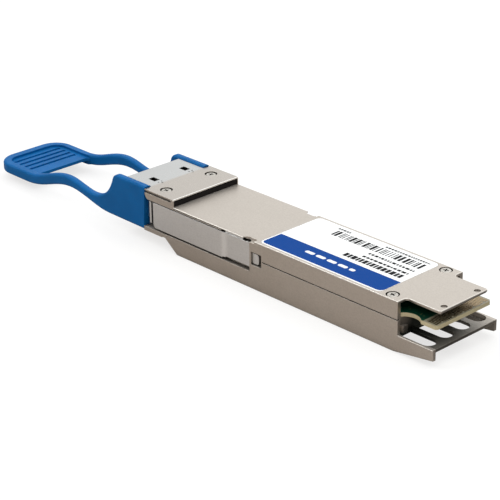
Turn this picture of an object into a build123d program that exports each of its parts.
from build123d import *
import os

# Pluggable optical transceiver module of the large eight-lane type, label side up.
# Frame: X runs along the module, +X towards the card edge that plugs into the host;
# +Z is the label side; Y = 0 is the mid-plane. The origin is the centre of the flat
# underside that the host's cooling presses on. Lengths are in millimetres.

# ---- driving dimensions ----
WIDTH = 22.58
HEIGHT = 13.0
NOSE_LENGTH = 20.7
PLUG_LENGTH = 87.1
FACE_LENGTH = 74.1
FACE_START = 1.06

# ---- stations along X, from the driving dimensions ----
X_STOP = -FACE_START - FACE_LENGTH / 2
X_NOSE = X_STOP - NOSE_LENGTH
X_REAR = X_STOP + PLUG_LENGTH
X_FACE_FRONT = -FACE_LENGTH / 2
X_FACE_REAR = FACE_LENGTH / 2
X_WALL_END = X_STOP + 76.4
X_LID_END = X_STOP + 86.5
X_CARD_END = X_STOP + 86.5
X_HEAD = X_STOP - 11.1
X_CHIN = X_HEAD - 0.7
X_SEAM = X_STOP + 32.4
X_FIN_REAR = X_WALL_END - 7.9

# ---- levels along Z ----
NOSE_TOP = 15.0
NOSE_BOTTOM = 3.3
PLATE_SHEET = 0.35
HEAD_TOP = NOSE_TOP - PLATE_SHEET
SEAM_HIGH = 12.3
SEAM_LOW = 8.1
FLOOR_TOP = 4.48
FLOOR_BOTTOM = 3.7
REAR_LIP = 1.7
CARD_TOP = 9.7
CARD_THICK = 1.0
CARD_BOTTOM = CARD_TOP - CARD_THICK
OPTICAL_AXIS = 8.0
CAST_EDGE = 0.3

# ---- half widths along Y ----
HALF = WIDTH / 2
NOSE_HALF = 9.0
WALL_IN = 10.2
SLIDER_WALL_IN = 9.2
PORT_PITCH = 6.25
PORT_Y = PORT_PITCH / 2

# ---- optical bores ----
FERRULE_BORE_R = 0.625
SLEEVE_R = 0.8
SLEEVE_START = X_STOP - 15.6
SLEEVE_END = X_STOP - 8.8
PLUG_DEPTH = 3.6
STUB_TIP_R = 0.6
STUB_R = 0.615
STUB_END = X_STOP - 6.4

# ---- release slider ----
SHEET = 0.5
PLATE_FLOOR = 10.75
REAR_FLOOR = 10.5
RECESS_BOTTOM = 4.53
GAP_FLOOR = 9.95
NECK_OUT = 9.8
NECK_IN = 9.4
NECK_FLOOR = 9.3
PLATE_FRONT = X_STOP - 8.0
HEM_FRONT = X_STOP - 9.4
HEM_REAR = X_STOP - 8.75
CREASE = X_STOP + 18.1
CREASE_STEP = 0.22
PLATE_END = X_STOP + 27.9
RAIL_END = X_STOP + 25.3
WINDOW_FRONT = X_STOP + 28.45
WINDOW_END = X_STOP + 32.1
TIP_IN = 10.14
TIP_OUT = 10.85
TIP_END = X_STOP + 30.8
TRAVEL = 2.5
LUG_X = X_STOP + 5.1
LUG_THICK = 0.5
SPRING_SEAT = X_STOP - 3.4
SPRING_Y = 9.85
SPRING_Z = 8.6
SPRING_R = 0.62
SPRING_WIRE = 0.13

# ---- pull tab ----
GRIP_FRONT = X_STOP - 77.2
WEB_REAR = X_STOP - 60.5
TAB_IN = 9.1
PANEL_BOTTOM = NOSE_BOTTOM
PANEL_TOP = NOSE_TOP + 0.4
PANEL_CORNER = X_STOP - 22.3
GRIP_TOP = 5.0
GRIP_BOTTOM = 2.1
WEB_TOP = GRIP_TOP - 0.65
WEB_BOTTOM = WEB_TOP - 0.85
TAB_EDGE = 0.7
GROOVES = 4
GROOVE_PITCH = 2.4
GROOVE_WIDE = 1.15
GROOVE_DEEP = 0.4

# ---- screws ----
REAR_SCREW_X = X_STOP + 73.0
REAR_SCREW_Y = 9.2
NOSE_SCREW_X = X_STOP - 6.6
NOSE_SCREW_Y = 7.75
SCREW_R = 0.8
HEAD_R = 1.4
HEAD_H = 0.75
COUNTERBORE_R = 1.65

# ---- label and gasket ----
LABEL_FRONT = X_STOP + 30.6
LABEL_REAR = X_STOP + 70.2
LABEL_HALF = 10.5
LABEL_THICK = 0.1
GASKET_HALF = 10.95
GASKET_TOP = 14.5

# ---- edge card ----
CONTACTS = 30
CONTACT_PITCH = 0.6
CARD_TIP_HALF = 9.5


def block(x0, x1, y0, y1, z0, z1):
    """A box given by its two opposite corners."""
    centre = Pos((x0 + x1) / 2, (y0 + y1) / 2, (z0 + z1) / 2)
    return centre * Box(x1 - x0, y1 - y0, z1 - z0)


def middle_block(x0, x1, half, z0, z1):
    """A box centred on the mid-plane."""
    return block(x0, x1, -half, half, z0, z1)


def side_slab(outline, y0, y1):
    """Extrude an outline drawn in X and Z across the width, from y0 to y1."""
    return extrude(Plane.XZ.offset(-y1) * outline, amount=y1 - y0)


def plan_slab(outline, z0, z1):
    """Extrude an outline drawn in X and Y upwards, from z0 to z1."""
    return extrude(Plane.XY.offset(z0) * outline, amount=z1 - z0)


def cross_slab(outline, x0, x1):
    """Extrude an outline drawn in Y and Z along the module, from x0 to x1."""
    return extrude(Plane.YZ.offset(x0) * outline, amount=x1 - x0)


def polygon(*points):
    """A flat face bounded by straight lines."""
    return make_face(Polyline(*points, close=True))


def rounded_plan(x0, x1, half, radius):
    """A rounded rectangle in plan, centred on the mid-plane."""
    return Pos((x0 + x1) / 2, 0) * RectangleRounded(x1 - x0, 2 * half, radius)


def post(x, y, radius, z0, z1):
    """An upright cylinder."""
    return Pos(x, y, (z0 + z1) / 2) * Cylinder(radius, z1 - z0)


def both_sides(shape):
    """The shape with its mirror image across the mid-plane."""
    return shape + mirror(shape, about=Plane.XZ)


def pair(shape):
    """Two separate solids, mirrored across the mid-plane."""
    return Compound(children=[shape, mirror(shape, about=Plane.XZ)])


def nose_screw_holes(radius, z0, z1):
    """Cylinders at both nose screws."""
    return both_sides(post(NOSE_SCREW_X, NOSE_SCREW_Y, radius, z0, z1))


def rear_screw_holes(radius, z0, z1):
    """Cylinders at both rear screws."""
    return both_sides(post(REAR_SCREW_X, REAR_SCREW_Y, radius, z0, z1))


def slider_recess():
    """The space each side of the housing leaves for the release slider and its travel."""
    outside = HALF + 1
    room = TRAVEL + 0.1
    rear_end = PLATE_END + 0.05
    front = block(X_HEAD - 1, CREASE, PLATE_FLOOR, outside, RECESS_BOTTOM, SEAM_HIGH)
    rear = block(CREASE - room, rear_end, REAR_FLOOR, outside, RECESS_BOTTOM, SEAM_HIGH)
    lower_gap = block(PLATE_FRONT - 0.4, rear_end, GAP_FLOOR, outside, RECESS_BOTTOM, 5.75)
    upper_gap = block(PLATE_FRONT - 0.4, rear_end, GAP_FLOOR, outside, 11.6, SEAM_HIGH)
    rail_way = block(CREASE + 1 - room, rear_end, 10.35, 10.95, 11.85, 12.72)
    rail_mouth = block(CREASE - 0.2, rear_end, 10.35, outside, SEAM_HIGH - 0.1, 12.72)
    neck = block(X_HEAD - 1, X_STOP - 7.2, NECK_FLOOR, outside, RECESS_BOTTOM, SEAM_HIGH)
    tip_way = block(PLATE_END - 6, WINDOW_END, TIP_IN - 0.09, TIP_OUT + 0.09, 6.65, 9.65)
    window = block(WINDOW_FRONT, WINDOW_END, TIP_IN - 0.09, outside, 6.5, 9.95)
    spring_bed = block(SPRING_SEAT, LUG_X + 1.1, 9.0, outside, 7.75, 9.45)
    ways = front + rear + lower_gap + upper_gap + rail_way + rail_mouth
    return both_sides(ways + neck + tip_way + window + spring_bed)


def housing_hollow():
    """The space inside the two shells, above the floor."""
    top = SEAM_HIGH + 0.5
    ports = middle_block(X_NOSE - 1, X_STOP - 8.7, 6.8, FLOOR_TOP, top)
    screws = middle_block(X_STOP - 8.7, X_STOP - 4.3, 6.35, FLOOR_TOP, top)
    packages = middle_block(X_STOP - 4.3, X_STOP + 8.1, 8.2, FLOOR_TOP, top)
    front = middle_block(X_STOP + 8.1, X_STOP + 33.6, SLIDER_WALL_IN, FLOOR_TOP, top)
    rear = middle_block(X_STOP + 33.6, X_REAR + 1, WALL_IN, FLOOR_TOP, top)
    return ports + screws + packages + front + rear


def air_slots():
    """Four lengthwise slots with rounded ends through the rear tongue."""
    slot = SlotOverall(X_REAR - X_WALL_END - 1.8, 3.9)
    centre_x = (X_WALL_END + X_REAR - 1.6) / 2
    slots = Pos(centre_x, 2.95) * slot + Pos(centre_x, 8.65) * slot
    square_ends = Pos(X_WALL_END + 1.1, 2.95) * Rectangle(2, 3.9)
    square_ends += Pos(X_WALL_END + 1.1, 8.65) * Rectangle(2, 3.9)
    return both_sides(plan_slab(slots + square_ends, FLOOR_BOTTOM - 0.5, FLOOR_TOP + 0.5))


def lower_outer_edges(shell):
    """The lower shell's lengthwise outer edges behind the chin, apart from the seam."""
    edges = []
    for edge in shell.edges():
        box = edge.bounding_box()
        across = box.max.Y - box.min.Y > 0.01
        seam = box.min.Z > SEAM_LOW - 0.01
        if not across and not seam and box.min.X > X_FACE_FRONT - 0.5:
            edges.append(edge)
    return edges


def bottom_shell():
    """Die-cast lower shell: walls, floor, chin, rear tongue and its side skirts."""
    outline = polygon(
        (X_CHIN, NOSE_BOTTOM),
        (X_STOP - 4.8, NOSE_BOTTOM),
        (X_STOP - 4.3, NOSE_BOTTOM + 0.25),
        (X_STOP - 3.5, NOSE_BOTTOM + 0.15),
        (X_FACE_FRONT, 0),
        (X_FACE_REAR, 0),
        (X_REAR, REAR_LIP),
        (X_REAR, FLOOR_TOP),
        (X_WALL_END, FLOOR_TOP),
        (X_WALL_END, SEAM_LOW),
        (X_SEAM, SEAM_LOW),
        (X_SEAM, SEAM_HIGH),
        (X_HEAD, SEAM_HIGH),
        (X_HEAD, 4.45),
        (X_CHIN, 4.45),
    )
    shell = side_slab(outline, -HALF, HALF)
    shell = fillet(lower_outer_edges(shell), CAST_EDGE)
    shell += middle_block(X_NOSE + PLATE_SHEET, X_HEAD, NOSE_HALF, NOSE_BOTTOM, SEAM_HIGH)
    shell -= housing_hollow()
    shell += middle_block(X_WALL_END - 1.5, X_WALL_END, WALL_IN, FLOOR_TOP, CARD_BOTTOM)
    shell += both_sides(block(X_WALL_END - 1.5, X_WALL_END + 0.9, 8.6, WALL_IN, FLOOR_TOP, 6.6))
    boss = post(REAR_SCREW_X, REAR_SCREW_Y, 1.9, FLOOR_TOP, CARD_TOP + 0.3)
    shell += both_sides(boss & middle_block(X_SEAM, X_WALL_END, WALL_IN, FLOOR_TOP, HEIGHT))
    shell += middle_block(2.0, 14.0, 6.0, FLOOR_TOP, 6.1)
    shell += both_sides(block(-20, -16, 8.4, SLIDER_WALL_IN, FLOOR_TOP, CARD_BOTTOM))
    shell += both_sides(block(16, 20, 9.2, WALL_IN, FLOOR_TOP, CARD_BOTTOM))
    channel_front = X_STOP - 3.2
    shell -= middle_block(channel_front, X_REAR + 1, WALL_IN, -1, FLOOR_BOTTOM)
    shell -= air_slots()
    shell -= slider_recess()
    shell -= rear_screw_holes(SCREW_R, 5.5, SEAM_HIGH)
    shell -= nose_screw_holes(SCREW_R, 5.5, SEAM_HIGH + 1)
    return shell


def lid_outline():
    """Plan of the label-side lid, with its rounded inner notch corners."""
    body = Pos((X_STOP + X_WALL_END) / 2, 0) * Rectangle(X_WALL_END - X_STOP, WIDTH)
    lid = Pos((X_WALL_END + X_LID_END) / 2 - 1, 0) * Rectangle(X_LID_END - X_WALL_END + 2, 16.5)
    outline = body + lid
    corners = outline.vertices().filter_by_position(Axis.X, X_WALL_END - 0.1, X_LID_END + 0.1)
    inner = [v for v in corners if abs(abs(v.Y) - 8.25) < 0.01 and v.X < X_WALL_END + 1]
    outline = fillet(inner, 1.0)
    outer = [v for v in outline.vertices() if v.X > X_LID_END - 0.1]
    return fillet(outer, 0.6)


def top_shell():
    """Die-cast upper shell: label face, rims, rear lid and the raised head at the nose."""
    shell = plan_slab(lid_outline(), 12.45, HEIGHT)
    label_side = shell.edges().group_by(Axis.Z)[-1]
    shell = fillet([e for e in label_side if e.bounding_box().max.X > X_STOP + 1], CAST_EDGE)
    shell += middle_block(X_STOP, X_WALL_END, HALF, SEAM_HIGH, 12.45)
    shell += middle_block(X_WALL_END - 2, X_LID_END - 0.35, 7.9, 12.05, 12.45)
    shell += both_sides(block(X_SEAM, X_WALL_END, WALL_IN, HALF, SEAM_LOW, SEAM_HIGH))
    flange = Pos((X_HEAD + X_STOP) / 2, (SEAM_HIGH + HEAD_TOP) / 2)
    flange *= Rectangle(X_STOP - X_HEAD, HEAD_TOP - SEAM_HIGH)
    front_corner = flange.vertices().sort_by(Axis.X)[:2].sort_by(Axis.Y)[:1]
    shell += side_slab(fillet(front_corner, 1.5), -HALF, HALF)
    shell += middle_block(X_NOSE + PLATE_SHEET, X_STOP, NOSE_HALF, SEAM_HIGH, HEAD_TOP)
    shell -= middle_block(X_NOSE, X_STOP - 8.7, 6.8, SEAM_HIGH - 1, 12.75)
    shell += both_sides(post(REAR_SCREW_X, REAR_SCREW_Y, 1.9, CARD_TOP + 0.3, SEAM_HIGH))
    shell -= middle_block(X_STOP - 1.2, X_STOP + 1, GASKET_HALF + 0.05, HEIGHT, HEAD_TOP + 1)
    shell -= both_sides(block(X_HEAD - 1, X_STOP - 0.9, 10.7, HALF + 1, HEAD_TOP - 0.6, HEAD_TOP + 1))
    shell -= both_sides(seam_groove() + rim_groove())
    shell -= nose_windows(0.6, SEAM_HIGH, NOSE_TOP)
    shell -= both_sides(grip_pocket())
    shell -= slider_recess()
    shell -= plan_slab(label_outline(0.05), HEIGHT - LABEL_THICK, HEIGHT + 1)
    shell -= both_sides(post(X_LID_END - 1.2, 5.75, 0.8, HEIGHT - 0.4, HEIGHT + 1))
    shell -= rear_screw_holes(COUNTERBORE_R, HEIGHT - 0.8, HEIGHT + 1)
    shell -= rear_screw_holes(SCREW_R + 0.1, CARD_TOP, HEIGHT)
    shell -= nose_screw_holes(COUNTERBORE_R + PLATE_SHEET + 0.05, HEAD_TOP - 0.95, NOSE_TOP)
    shell -= nose_screw_holes(SCREW_R + 0.1, SEAM_HIGH - 1, NOSE_TOP)
    return shell


def seam_groove():
    """Shadow gap along the side, where the upper shell meets the lower one."""
    return block(X_SEAM, X_WALL_END + 1, HALF - 0.7, HALF + 1, SEAM_LOW, SEAM_LOW + 0.3)


def rim_groove():
    """Fine line along the rim above the slider's flush plate."""
    return block(X_STOP, CREASE - 0.2, HALF - 0.3, HALF + 1, 12.5, 12.7)


def nose_windows(margin, z0, z1):
    """Two small rectangular windows over the plug latches."""
    window = Pos(X_STOP - 14.3, 5.3) * Rectangle(2.5 + 2 * margin, 1.8 + 2 * margin)
    return both_sides(plan_slab(window, z0, z1))


def grip_pocket():
    """Small pocket in the label side's edge: a deep round front end and a shallow rear part."""
    end = Pos(X_STOP + 27.0, HALF) * Circle(1.25)
    straight = Pos(X_STOP + 28.35, HALF) * Rectangle(2.7, 2.5)
    return plan_slab(end, 11.9, HEIGHT + 1) + plan_slab(straight, 12.4, HEIGHT + 1)


def label_outline(margin):
    """Plan of the label, larger all round by the margin."""
    return rounded_plan(LABEL_FRONT - margin, LABEL_REAR + margin, LABEL_HALF + margin, 1.4)


def label():
    """Thin adhesive label, flush in its shallow recess."""
    return plan_slab(label_outline(0), HEIGHT - LABEL_THICK, HEIGHT)


def nose_cover_plate():
    """Sheet-metal cover of the nose, dished round its two screws, with a bent front lip."""
    plate = middle_block(X_HEAD, X_STOP, HALF, HEAD_TOP, NOSE_TOP)
    plate += middle_block(X_NOSE, X_HEAD, 8.9, HEAD_TOP, NOSE_TOP)
    plate += middle_block(X_NOSE, X_NOSE + PLATE_SHEET, 8.9, 12.9, NOSE_TOP)
    plate += nose_screw_holes(COUNTERBORE_R + PLATE_SHEET, HEAD_TOP - 0.9, HEAD_TOP)
    plate -= nose_screw_holes(COUNTERBORE_R, HEAD_TOP - 0.9 + PLATE_SHEET, NOSE_TOP + 1)
    plate -= nose_screw_holes(SCREW_R + 0.1, HEAD_TOP - 2, NOSE_TOP)
    plate -= nose_windows(0, HEAD_TOP - 1, NOSE_TOP + 1)
    dots = Locations((X_STOP - 11.9, 4.75), (X_STOP - 11.9, 5.85), (X_STOP - 11.0, 5.3))
    for place in dots:
        plate -= both_sides(plan_slab(place * Circle(0.24), NOSE_TOP - 0.2, NOSE_TOP + 1))
    return plate


def emi_gasket():
    """Black conductive foam strip in the groove at the back of the head."""
    section = Pos(X_STOP - 0.65, (HEIGHT + GASKET_TOP) / 2) * Rectangle(1.1, GASKET_TOP - HEIGHT)
    rear_edge = section.vertices().sort_by(Axis.X)[2:].sort_by(Axis.Y)[1:]
    return side_slab(fillet(rear_edge, 0.5), -GASKET_HALF, GASKET_HALF)


def heat_sink_fins():
    """Finned plate under the floor; air passes between the fins, front to back."""
    base = side_slab(
        polygon((-40.9, FLOOR_BOTTOM), (X_FIN_REAR, FLOOR_BOTTOM), (X_FIN_REAR, 3.3), (-40.6, 3.3)),
        -10.1,
        10.1,
    )
    fin = polygon((-40.6, 3.4), (X_FIN_REAR, 3.4), (X_FIN_REAR, 0.4), (X_FACE_FRONT + 0.2, 0.4))
    count = 15
    for i in range(count):
        y = (i - (count - 1) / 2) * 1.36
        base += side_slab(fin, y - 0.17, y + 0.17)
    return base


def heat_sink_cover():
    """Flat sheet that closes the fin channels and is the module's cooling face."""
    outline = polygon(
        (X_FACE_FRONT, 0),
        (X_FIN_REAR, 0),
        (X_FIN_REAR, 0.4),
        (X_FACE_FRONT - 0.4, 0.4),
    )
    return side_slab(outline, -10.15, 10.15)


def screw(x, y, head_top, length):
    """Small pan-head screw with a cross recess, its head upwards."""
    body = post(x, y, HEAD_R, head_top - HEAD_H, head_top)
    body = fillet(body.edges().group_by(Axis.Z)[-1], 0.25)
    body += post(x, y, SCREW_R, head_top - length, head_top - HEAD_H)
    recess = Rectangle(1.5, 0.36) + Rectangle(0.36, 1.5)
    body -= plan_slab(Pos(x, y) * Rot(0, 0, 20) * recess, head_top - 0.5, head_top + 1)
    return body


def rear_screws():
    """The two screws that hold the upper shell at the card-edge end."""
    return pair(screw(REAR_SCREW_X, REAR_SCREW_Y, HEIGHT - 0.05, 6.8))


def nose_screws():
    """The two screws that hold the cover plate and the head on the nose."""
    return pair(screw(NOSE_SCREW_X, NOSE_SCREW_Y, HEAD_TOP - 0.9 + PLATE_SHEET + HEAD_H, 8.0))


def slider_right():
    """Steel release slider on the -Y side: neck, hem, flush plate, latch tip and spring lug."""
    lower = 5.1
    upper = 12.05
    step = 0.5
    front = Pos((PLATE_FRONT + CREASE) / 2, (lower + upper) / 2)
    front *= Rectangle(CREASE - PLATE_FRONT, upper - lower)
    corner = front.vertices().sort_by(Axis.X)[:2].sort_by(Axis.Y)[:1]
    slider = side_slab(fillet(corner, 1.0), HALF - SHEET, HALF)
    crease = polygon(
        (CREASE, HALF),
        (CREASE + 1, HALF - CREASE_STEP),
        (CREASE + 1, HALF - CREASE_STEP - SHEET),
        (CREASE, HALF - SHEET),
    )
    slider += plan_slab(crease, lower + step / 2, upper)
    rear_out = HALF - CREASE_STEP
    slider += block(CREASE + 1, PLATE_END, rear_out - SHEET, rear_out, lower + step, upper)
    rail = polygon(
        (rear_out, upper),
        (10.9, upper),
        (10.9, upper + 0.55),
        (10.4, upper + 0.55),
        (10.4, upper),
        (rear_out - SHEET, upper - 0.1),
    )
    slider += cross_slab(rail, CREASE + 1, RAIL_END)
    tip = Pos((PLATE_END - 3 + TIP_END) / 2, 8.15) * Rectangle(TIP_END - PLATE_END + 3, 2.7)
    tip_corners = tip.vertices().sort_by(Axis.X)[2:]
    slider += side_slab(fillet(tip_corners, 0.6), TIP_IN, TIP_OUT)
    slider += block(PLATE_FRONT, PLATE_FRONT + 0.45, NECK_IN, HALF - SHEET, 6.6, 12.0)
    slider += block(HEM_FRONT, HEM_REAR, NECK_IN, HALF - 0.05, 6.1, 12.0)
    slider += block(X_STOP - 19.0, PLATE_FRONT + 0.45, NECK_IN, NECK_OUT, 6.6, 12.0)
    for x in (X_STOP - 17.0, X_STOP - 14.0):
        slider -= side_slab(Pos(x, 9.3) * Circle(0.9), NECK_IN - 1, NECK_OUT + 1)
    slider += block(LUG_X, LUG_X + LUG_THICK, 9.15, HALF - SHEET, 7.95, 9.25)
    return mirror(slider, about=Plane.XZ)


def slider_left():
    """The same slider on the +Y side."""
    return mirror(slider_right(), about=Plane.XZ)


def return_spring():
    """Small compression spring between the housing and the slider's lug."""
    length = LUG_X - SPRING_SEAT - 2 * SPRING_WIRE
    coils = 11
    path = Helix(
        pitch=length / coils,
        height=length,
        radius=SPRING_R,
        center=(SPRING_SEAT + SPRING_WIRE, SPRING_Y, SPRING_Z),
        direction=(1, 0, 0),
    )
    section = Plane(origin=path @ 0, z_dir=path % 0) * Circle(SPRING_WIRE)
    return sweep(section, path=path)


def tab_outline():
    """Side view of the pull tab: flat grip, one wave in the arms, upright side panels."""
    wave_top = Spline(
        (X_STOP - 63.0, GRIP_TOP),
        (X_STOP - 52.6, 7.2),
        (X_STOP - 43.4, 8.95),
        (X_STOP - 31.3, 7.45),
        (X_STOP - 26.2, 10.6),
        (X_STOP - 24.6, 13.5),
        tangents=((1, 0), (0.5, 1)),
    )
    crown = RadiusArc((X_STOP - 24.6, 13.5), (PANEL_CORNER, PANEL_TOP), 2.2)
    wave_bottom = Spline(
        (X_STOP - 26.0, PANEL_BOTTOM + 0.1),
        (X_STOP - 34.0, 4.65),
        (X_STOP - 43.4, 6.15),
        (X_STOP - 54.0, 3.6),
        (X_STOP - 63.0, GRIP_BOTTOM),
        tangents=((-1, 0), (-1, 0)),
    )
    lines = [
        Line((GRIP_FRONT, GRIP_TOP), wave_top @ 0),
        wave_top,
        crown,
        Line(crown @ 1, (X_HEAD - 0.1, PANEL_TOP)),
        Line((X_HEAD - 0.1, PANEL_TOP), (X_CHIN - 0.1, PANEL_BOTTOM)),
        Line((X_CHIN - 0.1, PANEL_BOTTOM), wave_bottom @ 0),
        wave_bottom,
        Line(wave_bottom @ 1, (GRIP_FRONT, GRIP_BOTTOM)),
        Line((GRIP_FRONT, GRIP_BOTTOM), (GRIP_FRONT, GRIP_TOP)),
    ]
    return make_face(Wire(lines))


def tab_rounded_edges(tab):
    """Every edge of the tab's blank but its upright corners and the ends against the head."""
    edges = []
    for edge in tab.edges():
        box = edge.bounding_box()
        upright = box.max.X - box.min.X < 0.05 and box.max.Z - box.min.Z > 2
        if not upright and box.min.X < X_CHIN - 0.2:
            edges.append(edge)
    return edges


def pull_tab():
    """Moulded pull tab: two side panels, two waved arms and a ribbed grip."""
    tab = side_slab(tab_outline(), -HALF, HALF)
    tab &= plan_slab(rounded_plan(GRIP_FRONT, X_STOP + 5, HALF, 6.0), 0, PANEL_TOP + 1)
    tab -= plan_slab(rounded_plan(WEB_REAR, X_STOP + 5, TAB_IN, 1.5), 0, PANEL_TOP + 1)
    tab = fillet(tab_rounded_edges(tab), TAB_EDGE)
    recess = rounded_plan(GRIP_FRONT + 2.7, WEB_REAR + 5, TAB_IN, 3.4)
    tab -= plan_slab(recess, WEB_TOP, GRIP_TOP + 0.6)
    tab -= plan_slab(recess, GRIP_BOTTOM - 0.6, WEB_BOTTOM)
    for i in range(GROOVES):
        groove = Pos(GRIP_FRONT + 5.1 + GROOVE_PITCH * i, 0) * Rectangle(GROOVE_WIDE, 16.0)
        tab -= plan_slab(groove, WEB_TOP - GROOVE_DEEP, WEB_TOP)
    tab -= slider_left()
    tab -= slider_right()
    return tab


def lc_receptacle():
    """Moulded duplex receptacle: two square ports with latch ways, and two sleeve holders."""
    x0 = X_NOSE + PLATE_SHEET
    x1 = X_STOP - 8.8
    holder = middle_block(x0, x1, 6.7, 4.6, 12.65)
    port_end = x0 + 10.0
    for side in (-1, 1):
        y = side * PORT_Y
        holder -= block(x0 - 1, port_end, y - 2.35, y + 2.35, OPTICAL_AXIS - 2.4, OPTICAL_AXIS + 2.4)
        holder -= block(x0 - 1, port_end, y - 1.6, y + 1.6, OPTICAL_AXIS, 12.3)
        holder += cross_slab(Pos(y, OPTICAL_AXIS) * Circle(1.45), port_end - 5.2, port_end)
        holder += block(x0 + 2.6, x0 + 3.4, y - 1.6, y - 1.0, 11.1, 12.3)
        holder += block(x0 + 2.6, x0 + 3.4, y + 1.0, y + 1.6, 11.1, 12.3)
        holder -= cross_slab(Pos(y, OPTICAL_AXIS) * Circle(0.82), x0, x1 + 1)
    return holder


def stub_taper(gap):
    """Slightly tapered seat of a stub in its sleeve, larger all round by the gap."""
    seat = polygon(
        (SLEEVE_START + PLUG_DEPTH, 0),
        (SLEEVE_END, 0),
        (SLEEVE_END, STUB_R + gap),
        (SLEEVE_START + PLUG_DEPTH, STUB_TIP_R + gap),
    )
    return Pos(0, PORT_Y, OPTICAL_AXIS) * revolve(Plane.XZ * seat, axis=Axis.X)


def split_sleeves():
    """Two zirconia alignment sleeves, slit along their length."""
    ring = Circle(SLEEVE_R) - Pos(0, SLEEVE_R) * Rectangle(0.15, 0.5)
    sleeve = cross_slab(Pos(PORT_Y, OPTICAL_AXIS) * ring, SLEEVE_START, SLEEVE_END)
    bore = Pos(PORT_Y, OPTICAL_AXIS) * Circle(FERRULE_BORE_R)
    sleeve -= cross_slab(bore, SLEEVE_START, SLEEVE_START + PLUG_DEPTH)
    sleeve -= stub_taper(0.005)
    return pair(sleeve)


def fibre_stubs():
    """Ceramic stubs of the optical packages, seated in the rear half of the sleeves."""
    stub = stub_taper(0) + cross_slab(Pos(PORT_Y, OPTICAL_AXIS) * Circle(STUB_R), SLEEVE_END, STUB_END)
    stub -= middle_block(SLEEVE_START, SLEEVE_START + PLUG_DEPTH + 0.1, HALF, 0, HEIGHT)
    return pair(stub)


def barrel_clamp():
    """Saddle behind the receptacle that holds the barrels of both packages."""
    clamp = middle_block(X_STOP - 8.6, X_STOP - 7.0, 6.25, 4.6, 12.1)
    hole = cross_slab(Pos(PORT_Y, OPTICAL_AXIS) * Circle(1.9), X_STOP - 9, X_STOP - 6)
    return clamp - both_sides(hole)


def optical_package(length):
    """Sealed metal package with its barrel towards the receptacle."""
    x0 = X_STOP - 4.0
    body = block(x0, x0 + length, PORT_Y - 2.95, PORT_Y + 2.95, 5.0, 11.0)
    body = chamfer(body.edges().filter_by(Axis.Z), 0.4)
    barrel = cross_slab(Pos(PORT_Y, OPTICAL_AXIS) * Circle(1.8), X_STOP - 8.6, x0)
    collar = cross_slab(Pos(PORT_Y, OPTICAL_AXIS) * Circle(2.6), X_STOP - 6.4, X_STOP - 5.2)
    seam = block(x0 + 0.5, x0 + length - 0.5, PORT_Y - 2.6, PORT_Y + 2.6, 11.0, 11.25)
    bore = cross_slab(Pos(PORT_Y, OPTICAL_AXIS) * Circle(STUB_R), X_STOP - 9, STUB_END)
    return body + barrel + collar + seam - bore


def transmitter_package():
    """Transmitting package, behind the port on the -Y side."""
    return mirror(optical_package(13.0), about=Plane.XZ)


def receiver_package():
    """Receiving package, behind the port on the +Y side."""
    return optical_package(11.0)


def package_pads():
    """Soft thermal pads between the packages and the floor."""
    x0 = X_STOP - 3.5
    return pair(block(x0, x0 + 10, PORT_Y - 2.5, PORT_Y + 2.5, FLOOR_TOP, 5.0))


def flex(package_rear):
    """Flexible circuit from the rear of a package down onto the main board."""
    thick = 0.12
    x1 = X_STOP + 15.0
    level = CARD_TOP + thick / 2
    path = Polyline(
        (package_rear + thick / 2, 10.4),
        (package_rear + 0.7, 10.4),
        (X_STOP + 11.3, level),
        (x1, level),
    )
    ribbon = make_face(offset(path, thick / 2, side=Side.BOTH))
    return side_slab(ribbon, PORT_Y - 2.4, PORT_Y + 2.4)


def transmitter_flex():
    """Flexible circuit of the transmitting package."""
    return mirror(flex(X_STOP + 9.0), about=Plane.XZ)


def receiver_flex():
    """Flexible circuit of the receiving package."""
    return flex(X_STOP + 7.0)


def card_outline():
    """Plan of the board: narrow at the sliders, notched at the screws, scooped at its tip."""
    front = X_STOP + 10.2
    step = X_STOP + 34.0
    scoop = X_STOP + 79.2
    tip = X_STOP + 82.0
    outline = Pos((front + tip) / 2, 0) * Rectangle(tip - front, 17.8)
    outline += Pos((step + scoop) / 2, 0) * Rectangle(scoop - step, 20.0)
    outline += Pos((scoop + X_CARD_END) / 2, 0) * Rectangle(X_CARD_END - scoop, 2 * CARD_TIP_HALF)
    outer = [v for v in outline.vertices() if v.X > X_CARD_END - 0.1]
    outline = chamfer(outer, 0.5)
    for side in (-1, 1):
        outline -= Pos(scoop, side * 11.9) * Circle(3.6)
        outline -= Pos(REAR_SCREW_X, side * REAR_SCREW_Y) * Circle(2.05)
        outline -= Pos(REAR_SCREW_X, side * (REAR_SCREW_Y + 1)) * Rectangle(4.1, 2)
    return outline


def main_board():
    """Main circuit board, whose rear end is the plug-in card edge."""
    return plan_slab(card_outline(), CARD_BOTTOM, CARD_TOP)


def edge_contacts(z0, z1):
    """One row of gold contact pads at the card edge; every sixth pad starts further in."""
    pads = []
    for i in range(CONTACTS):
        y = (i - (CONTACTS - 1) / 2) * CONTACT_PITCH
        setback = 0.9 if i % 6 == 3 else 0.45
        pads.append(block(X_CARD_END - 3.4, X_CARD_END - setback, y - 0.19, y + 0.19, z0, z1))
    return Compound(children=pads)


def edge_contacts_top():
    """Contact pads on the label side of the board."""
    return edge_contacts(CARD_TOP, CARD_TOP + 0.04)


def edge_contacts_bottom():
    """Contact pads on the underside of the board."""
    return edge_contacts(CARD_BOTTOM - 0.04, CARD_BOTTOM)


def dsp_chip():
    """Signal processor under the board, facing the cooled floor."""
    substrate = middle_block(2.0, 14.0, 6.0, 8.1, CARD_BOTTOM)
    die = middle_block(3.6, 12.4, 4.4, 7.1, 8.1)
    return substrate + die


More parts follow.
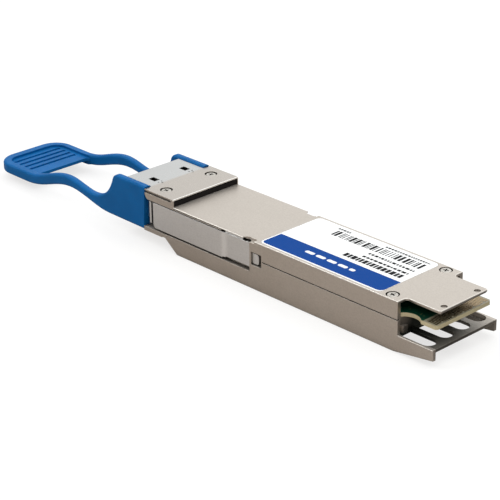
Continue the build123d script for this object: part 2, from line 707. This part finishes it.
def dsp_thermal_pad():
    """Soft thermal pad between the signal processor and the floor's pedestal."""
    return middle_block(3.0, 13.0, 5.0, 6.1, 7.1)


def driver_chips():
    """Laser driver and receiver amplifier, under the front of the board."""
    chip = block(-24.5, -20.0, PORT_Y - 2.2, PORT_Y + 2.2, 7.9, CARD_BOTTOM)
    return pair(chip)


def microcontroller():
    """Management controller on the label side of the board."""
    body = block(20.0, 26.0, -6.5, -0.5, CARD_TOP, CARD_TOP + 0.85)
    return chamfer(body.edges().group_by(Axis.Z)[-1], 0.15)


def power_inductors():
    """Four power-supply inductors in a row."""
    coils = []
    for i in range(4):
        body = block(-16 + 4.2 * i, -13 + 4.2 * i, 4.6, 7.6, CARD_TOP, CARD_TOP + 1.5)
        coils.append(chamfer(body.edges().filter_by(Axis.Z), 0.5))
    return Compound(children=coils)


def capacitors():
    """Small ceramic capacitors in two rows on the label side of the board."""
    parts = []
    for i in range(9):
        for y in (-8.2, 0.9):
            x = -14 + 1.9 * i
            parts.append(block(x, x + 1.0, y, y + 0.5, CARD_TOP, CARD_TOP + 0.5))
    return Compound(children=parts)


def crystal():
    """Reference crystal in its metal can."""
    body = block(16.0, 18.5, 2.5, 4.5, CARD_TOP, CARD_TOP + 0.8)
    return fillet(body.edges().filter_by(Axis.Z), 0.4)


PARTS = [
    bottom_shell,
    top_shell,
    label,
    nose_cover_plate,
    emi_gasket,
    heat_sink_fins,
    heat_sink_cover,
    rear_screws,
    nose_screws,
    slider_left,
    slider_right,
    pull_tab,
    lc_receptacle,
    split_sleeves,
    fibre_stubs,
    barrel_clamp,
    transmitter_package,
    receiver_package,
    package_pads,
    transmitter_flex,
    receiver_flex,
    main_board,
    edge_contacts_top,
    edge_contacts_bottom,
    dsp_chip,
    dsp_thermal_pad,
    driver_chips,
    microcontroller,
    power_inductors,
    capacitors,
    crystal,
]


def main():
    os.makedirs("parts", exist_ok=True)
    for make in PARTS:
        export_step(make(), f"parts/{make.__name__}.step")
    export_step(pair(return_spring()), "parts/return_springs.step")


main()
